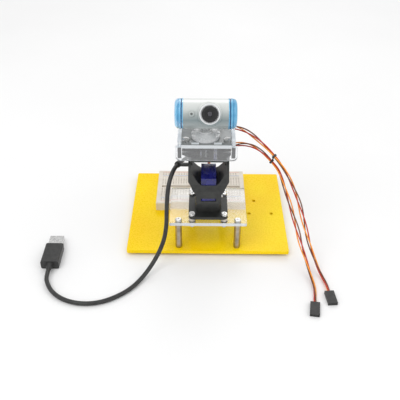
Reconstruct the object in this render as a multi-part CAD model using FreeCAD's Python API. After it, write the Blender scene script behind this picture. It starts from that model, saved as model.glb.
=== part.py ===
"""Pan tilt camera mount: a two-servo bracket on an acrylic base, with a webcam in a clear cradle.

Millimetres. X is to the mount's right, +Y to its back, +Z up. The camera looks along -Y at rest.
The origin is on the table, below the centre of the base plate.
"""

import math
import os

import FreeCAD
import Part

V = FreeCAD.Vector
X_AXIS = V(1, 0, 0)
Y_AXIS = V(0, 1, 0)
Z_AXIS = V(0, 0, 1)

# Base plate, its feet and the raised deck
PLATE_WIDTH = 140.0
PLATE_DEPTH = 120.0
ACRYLIC = 3.0
FOOT_HEIGHT = 2.5
FOOT_RADIUS = 5.0
FOOT_INSET = 9.0
STANDOFF_LENGTH = 25.0
STANDOFF_FLATS = 5.0
DECK_WIDTH = 65.3
DECK_FRONT = -57.0
DECK_BACK = -5.0
STANDOFF_SPOTS = ((-25.0, -53.8), (25.0, -53.8), (-14.0, -10.0), (14.0, -10.0))
SPARE_HOLES = ((44.0, 14.0), (38.5, -6.0), (59.0, -6.0))
M3_RADIUS = 1.5
M3_CLEARANCE = 1.65
M3_HEAD_RADIUS = 2.85
M3_HEAD_HEIGHT = 1.9
M3_NUT_FLATS = 5.5
M3_NUT_HEIGHT = 2.4
PLATE_TOP = FOOT_HEIGHT + ACRYLIC
DECK_BOTTOM = PLATE_TOP + STANDOFF_LENGTH
DECK_TOP = DECK_BOTTOM + ACRYLIC

# Nylon bracket
PAN_X = 0.0
PAN_Y = -37.0
FLANGE_WIDTH = 33.0
FLANGE_DEPTH = 37.0
FLANGE_THICKNESS = 2.5
FLANGE_BOTTOM = 36.0
FLANGE_TOP = FLANGE_BOTTOM + FLANGE_THICKNESS
FLANGE_HOLES_X = 27.0
FLANGE_HOLES_Y = 30.0
HUB_TOP = 53.0
HUB_HALF = 11.0
TILT_Y = -34.6
TILT_Z = 95.0
YOKE_OUTER = 16.65
YOKE_INNER = 14.65
YOKE_BLOCK_HALF = 10.3
YOKE_BOTTOM = 55.5
YOKE_WALL_TOP = 70.0
YOKE_FRONT = -59.2
YOKE_BACK = -25.8
ARM_RADIUS = 5.6
CLAMP_SCREW_Z = 62.4

# Micro servo, measured from its output shaft and from the case face that the shaft comes out of
SERVO_WIDTH = 12.2
SERVO_SHORT = 5.9
SERVO_LONG = 16.9
SERVO_HEIGHT = 22.7
SERVO_WALL = 1.0
EAR_TIP_SHORT = 10.6
EAR_TIP_LONG = 21.6
EAR_TOP = -4.3
EAR_THICKNESS = 2.5
EAR_HOLE_SHORT = 8.2
EAR_HOLE_LONG = 19.2
BOSS_RADIUS = 5.9
BOSS_HEIGHT = 4.0
SPLINE_RADIUS = 2.4
SPLINE_HEIGHT = 2.8
COVER_SPLIT = -18.7
PAN_FACE_Z = 53.5
TILT_FACE_X = 10.5

LUG_LEFT = -14.4
LUG_RIGHT = -12.35

# Clear cradle and webcam
PANEL_HALF = 24.6
PANEL_FRONT = -48.3
PANEL_BACK = -45.3
PLATE_BACK = -42.7
SHELF_BOTTOM = 102.0
SHELF_TOP = SHELF_BOTTOM + ACRYLIC
SHELF_HALF = 20.0
SHELF_FRONT = -49.6
SHELF_BACK = -20.0
HEAD_X = -2.0
CRADLE_BOLTS_X = (HEAD_X - 16.4, HEAD_X + 16.4)
CRADLE_SCREW_Y = -42.8
SCREW_LUG_BACK = -40.5
SCREW_LUG_BOTTOM = 98.4
SCREW_LUG_HALF = 3.0
PLATE_HALF = 19.5
PLATE_NOTCH_DEPTH = 6.2
PLATE_NOTCH_Z = 96.9
PLATE_NOTCH_HALF = 1.1
PANEL_BOTTOM = 89.5
PANEL_CORNER = 4.0
SIDE_LEG_BOTTOM = 91.0
SIDE_LEG_BACK = -41.5
CAM_X = -2.8
CAM_Y = -35.0
CAM_Z = 125.0
BARREL_RADIUS = 11.75
BARREL_HALF = 19.0
CAP_END = 24.4
LENS_X = CAM_X + 3.0
BUTTON_X = CAM_X - 11.0
LOOK_UP = 27.0
NECK_RADIUS = 3.4
BALL_TOP = 110.6
FOOT_DISC_RADIUS = 11.6

# Breadboard
BOARD_SIZE = (83.0, 54.5, 8.5)
BOARD_X = -6.5
BOARD_FRONT = -2.0

# Cords
USB_DIAMETER = 3.6
LEAD_DIAMETER = 2.6

USB_TIE_WIDTH = 3.0
USB_TIE_GAP = 1.2
TIE_LENGTH = 1.6
GEAR_HALL_FLOOR = -5.6
MODULE = 0.32
OUTPUT_TEETH = 30
IDLER_SMALL_TEETH = 9
IDLER_LARGE_TEETH = 22
PINION_TEETH = 8
IDLER_X = -(OUTPUT_TEETH + IDLER_SMALL_TEETH) * MODULE / 2
MOTOR_X = IDLER_X - (IDLER_LARGE_TEETH + PINION_TEETH) * MODULE / 2

FIT = 0.15


def box(low, high):
    """A box between two opposite corners."""
    size = [b - a for a, b in zip(low, high)]
    return Part.makeBox(size[0], size[1], size[2], V(*low))


def rod(x, y, low, high, radius):
    """An upright cylinder from one height to another."""
    return Part.makeCylinder(radius, high - low, V(x, y, low), Z_AXIS)


def rod_x(low, high, y, z, radius):
    """A cylinder along X."""
    return Part.makeCylinder(radius, high - low, V(low, y, z), X_AXIS)


def rod_y(low, high, x, z, radius):
    """A cylinder along Y."""
    return Part.makeCylinder(radius, high - low, V(x, low, z), Y_AXIS)


def hexagon(x, y, low, high, flats):
    """An upright hexagonal prism, by its width across flats."""
    radius = flats / math.sqrt(3)
    corners = [V(x + radius * math.cos(math.radians(60 * k)), y + radius * math.sin(math.radians(60 * k)),
                 low)
               for k in range(7)]
    return Part.Face(Part.makePolygon(corners)).extrude(V(0, 0, high - low))


def prism(points, along, start, length):
    """A polygon extruded along one axis. Its points are in the plane of the other two, in X, Y, Z order."""
    if along == "x":
        corners = [V(start, a, b) for a, b in points]
        way = V(length, 0, 0)
    elif along == "y":
        corners = [V(a, start, b) for a, b in points]
        way = V(0, length, 0)
    else:
        corners = [V(a, b, start) for a, b in points]
        way = V(0, 0, length)
    return Part.Face(Part.makePolygon(corners + [corners[0]])).extrude(way)


def joined(shapes):
    """One solid from several that overlap."""
    result = shapes[0]
    for shape in shapes[1:]:
        result = result.fuse(shape)
    return result.removeSplitter()


def less(shape, cuts):
    """A solid with others cut from it."""
    for cut in cuts:
        shape = shape.cut(cut)
    return shape


def rounded(shape, radius, way):
    """A box with the four edges along one axis rounded."""
    edges = [e for e in shape.Edges
             if abs(abs((e.Vertexes[1].Point - e.Vertexes[0].Point).normalize().dot(way)) - 1) < 1e-6]
    return shape.makeFillet(radius, edges)


def slotted_head(head, x, y, top, width, length):
    """A screw head with a cross recess in its top."""
    deep = 0.9
    across = box((x - length / 2, y - width / 2, top - deep), (x + length / 2, y + width / 2, top + 1))
    along = box((x - width / 2, y - length / 2, top - deep), (x + width / 2, y + length / 2, top + 1))
    return less(head, (across, along))


def pan_screw(x, y, seat, length, up=True):
    """An M3 pan-head screw whose head rests on the seat, pointing down, or up if it comes from below."""
    sign = 1 if up else -1
    head = rod(x, y, min(seat, seat + sign * M3_HEAD_HEIGHT), max(seat, seat + sign * M3_HEAD_HEIGHT),
               M3_HEAD_RADIUS)
    top = [e for e in head.Edges if abs(e.BoundBox.ZMax - (seat + sign * M3_HEAD_HEIGHT)) < 1e-6
           and e.BoundBox.ZLength < 1e-6]
    head = head.makeFillet(0.8, top)
    if up:
        head = slotted_head(head, x, y, seat + M3_HEAD_HEIGHT, 0.7, 3.0)
    shank = rod(x, y, min(seat, seat - sign * length), max(seat, seat - sign * length), M3_RADIUS)
    return joined([head, shank])


def small_screw(start, way, length, radius, head_radius, head_height):
    """A small self-tapping screw: start is under the head, way points to the tip."""
    shank = Part.makeCylinder(radius, length, start, way)
    head = Part.makeCylinder(head_radius, head_height, start - way * head_height, way)
    cross = Part.makeCylinder(radius * 0.7, head_height * 0.6, start - way * (head_height + 0.01), way)
    return joined([head, shank]).cut(cross)


# ---------------------------------------------------------------- cords


def cord_solid(points, diameter, name):
    """A round tube along straight runs joined by the largest tangent arcs that the runs allow."""
    points = [V(*p) for p in points]
    edges = []
    radii = []
    at = points[0]
    for before, corner, after in zip(points, points[1:], points[2:]):
        back = (before - corner).normalize()
        ahead = (after - corner).normalize()
        turn = math.pi - back.getAngle(ahead)
        cut = 0.45 * min((before - corner).Length, (after - corner).Length)
        radii.append(cut / math.tan(turn / 2))
        start = corner + back * cut
        end = corner + ahead * cut
        middle = (back + ahead).normalize()
        centre = corner + middle * math.hypot(cut, radii[-1])
        half_way = centre - middle * radii[-1]
        edges.append(Part.LineSegment(at, start).toShape())
        edges.append(Part.Arc(start, half_way, end).toShape())
        at = end
    edges.append(Part.LineSegment(at, points[-1]).toShape())
    wire = Part.Wire(edges)
    section = Part.Wire(Part.Circle(points[0], points[1] - points[0], diameter / 2).toShape())
    tube = wire.makePipeShell([section], True, False)
    expected = math.pi * diameter**2 / 4 * wire.Length
    print(f"{name}: length {wire.Length:.1f}, volume {tube.Volume:.1f} against {expected:.1f},"
          f" radii {min(radii):.1f} to {max(radii):.1f}")
    return tube


# Each route starts at the end nearer the servo or the camera. Two lengths of one cord meet at a shared point.
USB_TAIL_ROUTE = (
    (-2.8, -22.17, 118.46),
    (-2.8, -14.69, 114.65),
    (-3.4, -8.2, 113.0),
    (-4.2, -2.0, 110.0),
    (-4.9, 3.04, 105.1),
    (-5.6, 6.04, 98.35),
    (-6.5, 6.45, 92.57),
)
USB_UPPER_ROUTE = (
    (-6.5, 6.45, 92.57),
    (-7.4, 6.86, 86.79),
    (-9.2, 4.82, 79.68),
    (-12.0, -0.2, 74.2),
    (-15.6, -6.8, 71.2),
    (-19.4, -14.2, 71.0),
    (-22.41, -21.04, 72.66),
    (-24.6, -27.05, 73.9),
)
USB_LOWER_ROUTE = (
    (-24.6, -27.05, 73.9),
    (-26.9, -33.35, 75.2),
    (-29.6, -40.2, 73.9),
    (-31.9, -46.4, 69.6),
    (-33.4, -51.2, 63.0),
    (-34.1, -54.9, 54.6),
    (-34.4, -58.6, 45.5),
    (-34.5, -62.6, 36.3),
    (-36.2, -67.6, 25.4),
    (-40.4, -73.4, 15.8),
    (-46.6, -81.0, 7.6),
    (-53.8, -91.0, 2.6),
    (-62.0, -103.0, 1.8),
    (-73.2, -113.0, 1.85),
    (-86.4, -119.6, 1.8),
    (-100.8, -120.8, 1.85),
    (-114.6, -116.6, 1.8),
    (-125.4, -108.4, 2.2),
    (-131.6, -97.6, 3.4),
    (-132.8, -91.0, 4.0),
    (-132.8, -84.0, 4.0),
)
TILT_LEAD_UPPER_ROUTE = (
    (-8.6, -17.7, 95.0),
    (-8.6, -12.6, 95.0),
    (-6.0, -8.0, 95.2),
    (-0.8, -5.0, 95.8),
    (6.2, -4.4, 96.8),
    (14.0, -6.0, 98.0),
    (21.8, -9.4, 98.8),
    (29.4, -14.4, 98.8),
    (36.4, -20.2, 97.2),
    (42.9, -26.0, 94.2),
    (48.7, -31.0, 90.4),
    (54.3, -35.5, 85.6),
)
TILT_LEAD_LOWER_ROUTE = (
    (54.3, -35.5, 85.6),
    (58.1, -38.55, 82.35),
    (63.1, -41.4, 75.6),
    (68.3, -43.6, 66.4),
    (73.1, -46.2, 56.0),
    (77.4, -50.0, 44.8),
    (80.9, -55.4, 33.4),
    (84.2, -62.0, 22.2),
    (88.0, -69.6, 12.0),
    (92.0, -78.4, 4.6),
    (95.2, -88.0, 1.5),
    (97.2, -97.0, 1.3),
    (97.8, -104.2, 1.3),
)
PAN_LEAD_UPPER_ROUTE = (
    (0.0, -31.1, 73.4),
    (0.0, -25.6, 73.4),
    (2.4, -20.4, 74.2),
    (7.4, -16.6, 76.8),
    (14.0, -15.2, 81.0),
    (21.2, -16.2, 85.4),
    (28.8, -19.2, 88.4),
    (36.2, -23.4, 89.2),
    (42.9, -28.0, 87.2),
    (48.4, -31.9, 83.8),
    (52.6, -34.9, 80.2),
)
PAN_LEAD_LOWER_ROUTE = (
    (52.6, -34.9, 80.2),
    (56.5, -37.7, 76.85),
    (60.4, -41.4, 68.8),
    (64.2, -45.8, 59.0),
    (68.0, -50.2, 48.4),
    (71.8, -55.2, 37.6),
    (75.5, -61.2, 27.0),
    (78.8, -68.2, 17.4),
    (82.2, -76.4, 9.4),
    (85.0, -85.8, 3.8),
    (86.6, -96.0, 1.5),
    (86.6, -106.8, 1.3),
    (85.0, -116.8, 1.3),
)


# ---------------------------------------------------------------- servo


def in_servo(shape, servo):
    """A shape from the servo's own frame, where the shaft points along +Z and the short end is at +X."""
    if servo == "pan":
        matrix = FreeCAD.Matrix(0, 1, 0, PAN_X, 1, 0, 0, PAN_Y, 0, 0, -1, PAN_FACE_Z, 0, 0, 0, 1)
    else:
        matrix = FreeCAD.Matrix(0, 0, 1, TILT_FACE_X, -1, 0, 0, TILT_Y, 0, -1, 0, TILT_Z, 0, 0, 0, 1)
    placed = shape.copy()
    placed.transformShape(matrix, True)
    return placed




def gear(x, y, low, high, teeth):
    """A spur wheel with short teeth that stay just inside its pitch circle."""
    pitch = teeth * MODULE / 2
    tip = pitch - 0.02
    root = pitch - 0.45
    points = []
    for k in range(teeth):
        for share, radius in ((0.0, root), (0.18, tip), (0.42, tip), (0.6, root)):
            angle = 2 * math.pi * (k + share) / teeth
            points.append((x + radius * math.cos(angle), y + radius * math.sin(angle)))
    return prism(points, "z", low, high - low)


def servo_parts(servo):
    """The pieces of one micro servo, as {name: shape} in the mount's frame."""
    half = SERVO_WIDTH / 2
    inner = half - SERVO_WALL
    low_x = -SERVO_LONG
    high_x = SERVO_SHORT
    middle = box((low_x, -half, COVER_SPLIT), (high_x, half, EAR_TOP))
    ears = rounded(box((-EAR_TIP_LONG, -half, EAR_TOP - EAR_THICKNESS), (EAR_TIP_SHORT, half, EAR_TOP)),
                   0.8, Z_AXIS)
    middle = joined([middle, ears])
    motor_hall = box((low_x + SERVO_WALL, -inner, COVER_SPLIT - 1), (high_x - SERVO_WALL, inner, -6.8))
    gear_hall = box((low_x + SERVO_WALL, -inner, GEAR_HALL_FLOOR), (high_x - SERVO_WALL, inner, 0))
    motor_hole = rod(MOTOR_X, 0, -8, -5, 1.6)
    idler_hole = rod(IDLER_X, 0, -6.5, -5, 1.05)
    shaft_hole = rod(0, 0, -8, -5, 1.3)
    ear_holes = [rod(x, 0, EAR_TOP - 3, EAR_TOP + 1, 1.0) for x in (EAR_HOLE_SHORT, -EAR_HOLE_LONG)]
    middle = less(middle, [motor_hall, gear_hall, motor_hole, idler_hole, shaft_hole, *ear_holes])
    cover = joined([box((low_x, -half, EAR_TOP), (high_x, half, 0)),
                    rod(0, 0, -0.5, BOSS_HEIGHT, BOSS_RADIUS),
                    rod(-6.4, 0, -0.5, BOSS_HEIGHT, 2.7)])
    cover_hall = box((low_x + SERVO_WALL, -inner, EAR_TOP - 1), (high_x - SERVO_WALL, inner, -1.0))
    boss_hall = rod(0, 0, -1.5, BOSS_HEIGHT - 1, BOSS_RADIUS - 0.9)
    cover = less(cover, [cover_hall, boss_hall, rod(0, 0, 0, BOSS_HEIGHT + 1, SPLINE_RADIUS + 0.08)])
    bottom = box((low_x, -half, -SERVO_HEIGHT), (high_x, half, COVER_SPLIT))
    bottom_hall = box((low_x + SERVO_WALL, -inner, -SERVO_HEIGHT + SERVO_WALL),
                      (high_x - SERVO_WALL, inner, COVER_SPLIT + 1))
    bottom = bottom.cut(bottom_hall)
    motor = joined([rod(MOTOR_X, 0, -17.0, -7.0, 4.4), rod(MOTOR_X, 0, -7.1, -6.0, 1.2),
                    rod(MOTOR_X, 0, -7.1, -1.8, 0.45)])
    board = box((low_x + 1.6, -4.6, -20.6), (high_x - 1.6, 4.6, -19.6))
    sensor = joined([box((-3.6, -4.4, -14.0), (3.6, 4.4, -9.0)), rod(0, 0, -9.2, -7.2, 2.4)])
    output = joined([gear(0, 0, -3.9, -2.0, OUTPUT_TEETH),
                     rod(0, 0, -2.1, BOSS_HEIGHT + SPLINE_HEIGHT, SPLINE_RADIUS),
                     rod(0, 0, -6.9, -3.8, 1.1)])
    output = output.cut(rod(0, 0, 0.5, BOSS_HEIGHT + SPLINE_HEIGHT + 1, 0.75))
    idler = joined([gear(IDLER_X, 0, -3.9, -2.0, IDLER_SMALL_TEETH),
                    gear(IDLER_X, 0, -5.3, -4.1, IDLER_LARGE_TEETH),
                    rod(IDLER_X, 0, -6.3, -3.5, 1.0)])
    pinion = gear(MOTOR_X, 0, -5.3, -4.1, PINION_TEETH)
    pinion = pinion.cut(rod(MOTOR_X, 0, -7, 0, 0.5))
    shapes = {
        "case_middle": middle,
        "gear_cover": cover,
        "bottom_cover": bottom,
        "motor": motor,
        "circuit_board": Part.makeCompound([board, sensor]),
        "output_gear": output,
        "idler_gear": idler,
        "motor_pinion": pinion,
    }
    return {name: in_servo(shape, servo) for name, shape in shapes.items()}


# ---------------------------------------------------------------- parts


def base_parts():
    """The plate, deck and what fastens them."""
    half_x = PLATE_WIDTH / 2
    half_y = PLATE_DEPTH / 2
    plate = rounded(box((-half_x, -half_y, FOOT_HEIGHT), (half_x, half_y, PLATE_TOP)), 1.5, Z_AXIS)
    holes = [rod(x, y, 0, DECK_TOP, M3_CLEARANCE) for x, y in STANDOFF_SPOTS]
    spare = [rod(x, y, 0, PLATE_TOP + 1, M3_CLEARANCE) for x, y in SPARE_HOLES]
    plate = less(plate, holes + spare)
    feet = [rod(x * (half_x - FOOT_INSET), y * (half_y - FOOT_INSET), 0, FOOT_HEIGHT, FOOT_RADIUS)
            for x in (-1, 1) for y in (-1, 1)]
    feet = [f.makeChamfer(0.6, [e for e in f.Edges if e.BoundBox.ZMax < 1e-6]) for f in feet]
    deck = rounded(box((-DECK_WIDTH / 2, DECK_FRONT, DECK_BOTTOM), (DECK_WIDTH / 2, DECK_BACK, DECK_TOP)),
                   1.0, Z_AXIS)
    corners = [(PAN_X + sx * FLANGE_HOLES_X / 2, PAN_Y + sy * FLANGE_HOLES_Y / 2)
               for sx in (-1, 1) for sy in (-1, 1)]
    flange_holes = [rod(x, y, DECK_BOTTOM - 1, DECK_TOP + 1, M3_CLEARANCE) for x, y in corners]
    deck = less(deck, holes + flange_holes)
    standoffs = []
    standoff_screws = []
    for x, y in STANDOFF_SPOTS:
        post = hexagon(x, y, PLATE_TOP, DECK_BOTTOM, STANDOFF_FLATS)
        post = less(post, (rod(x, y, PLATE_TOP - 1, PLATE_TOP + 8, M3_RADIUS),
                           rod(x, y, DECK_BOTTOM - 8, DECK_BOTTOM + 1, M3_RADIUS)))
        standoffs.append(post)
        standoff_screws.append(pan_screw(x, y, DECK_TOP, 9.0))
        standoff_screws.append(pan_screw(x, y, FOOT_HEIGHT, 9.0, up=False))
    spacers = []
    flange_screws = []
    flange_nuts = []
    for x, y in corners:
        spacer_hole = rod(x, y, DECK_TOP - 1, FLANGE_BOTTOM + 1, M3_CLEARANCE)
        spacers.append(rod(x, y, DECK_TOP, FLANGE_BOTTOM, 2.9).cut(spacer_hole))
        flange_screws.append(pan_screw(x, y, FLANGE_TOP, 12.0))
        nut = hexagon(x, y, DECK_BOTTOM - M3_NUT_HEIGHT, DECK_BOTTOM, M3_NUT_FLATS)
        flange_nuts.append(nut.cut(rod(x, y, DECK_BOTTOM - 4, DECK_BOTTOM + 1, M3_RADIUS)))
    return {
        "base_plate": plate,
        "bumper_feet": Part.makeCompound(feet),
        "deck_plate": deck,
        "deck_standoffs": Part.makeCompound(standoffs),
        "standoff_screws": Part.makeCompound(standoff_screws),
        "flange_spacers": Part.makeCompound(spacers),
        "flange_screws_and_nuts": Part.makeCompound(flange_screws + flange_nuts),
    }


def pan_base_parts():
    """The fixed foot of the bracket, with the horn that holds the pan servo's shaft still."""
    flange = rounded(box((-FLANGE_WIDTH / 2, PAN_Y - FLANGE_DEPTH / 2, FLANGE_BOTTOM),
                         (FLANGE_WIDTH / 2, PAN_Y + FLANGE_DEPTH / 2, FLANGE_TOP)), 4.0, Z_AXIS)
    tower = rounded(box((-HUB_HALF, PAN_Y - HUB_HALF, FLANGE_BOTTOM),
                        (HUB_HALF, PAN_Y + HUB_HALF, HUB_TOP)), 4.0, Z_AXIS)
    base = joined([flange, tower])
    hollow = rounded(box((-HUB_HALF + 2, PAN_Y - HUB_HALF + 2, FLANGE_BOTTOM - 1),
                         (HUB_HALF - 2, PAN_Y + HUB_HALF - 2, 45.4)), 2.5, Z_AXIS)
    boss_well = rod(PAN_X, PAN_Y, 49.3, HUB_TOP + 1, 9.5)
    horn_hub = rod(PAN_X, PAN_Y, 46.4, 49.2, 3.6)
    horn_bar = rounded(box((-8.0, PAN_Y - 2.0, 47.4), (8.0, PAN_Y + 2.0, 48.9)), 1.9, Z_AXIS)
    horn_cross = rounded(box((-2.0, PAN_Y - 8.0, 47.4), (2.0, PAN_Y + 8.0, 48.9)), 1.9, Z_AXIS)
    horn = joined([horn_hub, horn_bar, horn_cross])
    horn = horn.cut(rod(PAN_X, PAN_Y, 46.7, 50, SPLINE_RADIUS)).cut(rod(PAN_X, PAN_Y, 46, 50, 1.0))
    horn_well = joined([rod(PAN_X, PAN_Y, 45.0, 50.0, 3.6),
                        rounded(box((-8.0, PAN_Y - 2.0, 47.4), (8.0, PAN_Y + 2.0, 50)), 1.9, Z_AXIS),
                        rounded(box((-2.0, PAN_Y - 8.0, 47.4), (2.0, PAN_Y + 8.0, 50)), 1.9, Z_AXIS)])
    holes = [rod(PAN_X + sx * FLANGE_HOLES_X / 2, PAN_Y + sy * FLANGE_HOLES_Y / 2, 30, 45, M3_CLEARANCE)
             for sx in (-1, 1) for sy in (-1, 1)]
    base = less(base, [hollow, boss_well, horn_well, *holes])
    screw = small_screw(V(PAN_X, PAN_Y, 46.4), Z_AXIS, 5.0, 0.74, 1.9, 1.2)
    return {"pan_base": base, "pan_horn": horn, "pan_horn_screw": screw}


def yoke_half(side):
    """One of the two mirrored halves that clamp the pan servo and carry the tilt axis."""
    front_view = [(0, YOKE_BOTTOM), (YOKE_BLOCK_HALF, YOKE_BOTTOM), (YOKE_BLOCK_HALF, 64.5),
                  (YOKE_OUTER, 72.0),
                  (YOKE_OUTER, 120), (YOKE_INNER, 120), (YOKE_INNER, 78.0), (8.6, YOKE_WALL_TOP + 1.5),
                  (6.3, YOKE_WALL_TOP), (0, YOKE_WALL_TOP)]
    bulk = prism([(side * x, z) for x, z in front_view], "y", YOKE_FRONT, YOKE_BACK - YOKE_FRONT)
    side_view = [(YOKE_FRONT, YOKE_BOTTOM), (YOKE_BACK, YOKE_BOTTOM), (YOKE_BACK, 67.0),
                 (YOKE_BACK - 1.4, YOKE_WALL_TOP),
                 (TILT_Y + ARM_RADIUS, 84.0), (TILT_Y + ARM_RADIUS, TILT_Z), (TILT_Y - ARM_RADIUS, TILT_Z),
                 (TILT_Y - ARM_RADIUS, 86.0), (YOKE_FRONT + 5.0, YOKE_WALL_TOP), (YOKE_FRONT, 67.0)]
    outline = joined([prism(side_view, "x", -20, 40), rod_x(-20, 20, TILT_Y, TILT_Z, ARM_RADIUS)])
    half = bulk.common(outline)
    servo_half = SERVO_WIDTH / 2 + FIT
    pocket = box((-servo_half, PAN_Y - SERVO_LONG - FIT, 50), (servo_half, PAN_Y + SERVO_SHORT + FIT, 80))
    ear_low = PAN_FACE_Z - EAR_TOP - FIT
    ear_slot = box((-servo_half, YOKE_FRONT - 1, ear_low),
                   (servo_half, YOKE_BACK + 1, ear_low + EAR_THICKNESS + 2 * FIT))
    lead_gate = box((-3.0, PAN_Y, 67.5), (3.0, YOKE_BACK + 1, 80))
    clamp_holes = [rod_x(-20, 20, y, CLAMP_SCREW_Z, 1.0) for y in (YOKE_FRONT + 2.5, YOKE_BACK - 2.3)]
    half = less(half, [pocket, ear_slot, lead_gate, *clamp_holes])
    window = rounded(box((-20, TILT_Y - 3.4, 76.5), (20, TILT_Y + 3.4, 84.5)), 3.0, X_AXIS)
    half = half.cut(window)
    return half


def yoke_parts():
    """The turning yoke: two halves, their screws, the tilt horn and the left pivot."""
    left = yoke_half(-1)
    right = yoke_half(1)
    hub_start = YOKE_INNER + 0.2
    hub_end = TILT_FACE_X + BOSS_HEIGHT + SPLINE_HEIGHT + 0.6
    horn_hub = rod_x(hub_start, hub_end, TILT_Y, TILT_Z, 3.5)
    horn_bar = rounded(box((15.2, TILT_Y - 1.9, TILT_Z - 10.0), (16.4, TILT_Y + 1.9, TILT_Z + 4.4)), 1.8,
                       X_AXIS)
    horn = joined([horn_hub, horn_bar])
    right = less(right, [rod_x(YOKE_INNER - 1, YOKE_OUTER + 1, TILT_Y, TILT_Z, 3.5),
                         rounded(box((15.2, TILT_Y - 1.9, TILT_Z - 10.0),
                                     (17.4, TILT_Y + 1.9, TILT_Z + 4.4)), 1.8, X_AXIS)])
    spline_hole = rod_x(hub_start - 1, hub_end - 0.6, TILT_Y, TILT_Z, SPLINE_RADIUS)
    horn = less(horn, [spline_hole, rod_x(15, 20, TILT_Y, TILT_Z, 0.75)])
    horn_screw = small_screw(V(hub_end, TILT_Y, TILT_Z), V(-1, 0, 0), 3.4, 0.74, 1.7, 1.0)
    bar_screw = small_screw(V(16.4, TILT_Y, TILT_Z - 7.6), V(-1, 0, 0), 1.7, 0.7, 1.5, 0.8)
    bar_hole = rod_x(13, 18, TILT_Y, TILT_Z - 7.6, 0.7)
    right = right.cut(bar_hole)
    horn = horn.cut(bar_hole)
    pivot = joined([rod_x(-YOKE_OUTER, -12.4, TILT_Y, TILT_Z, 1.5),
                    rod_x(-YOKE_OUTER - 1.2, -YOKE_OUTER, TILT_Y, TILT_Z, 2.8)])
    pivot = less(pivot, [box((-19, TILT_Y - 2, TILT_Z - 0.35), (-17.2, TILT_Y + 2, TILT_Z + 0.35))])
    left = left.cut(rod_x(-20, -10, TILT_Y, TILT_Z, 1.5))
    screws = [horn_screw, bar_screw, pivot]
    for y in (YOKE_FRONT + 2.5, YOKE_BACK - 2.3):
        screws.append(small_screw(V(YOKE_BLOCK_HALF, y, CLAMP_SCREW_Z), V(-1, 0, 0), 16.0, 1.0, 1.9, 1.3))
    return {
        "yoke_left_half": left,
        "yoke_right_half": right,
        "tilt_horn": horn,
        "yoke_screws": Part.makeCompound(screws),
    }


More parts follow.
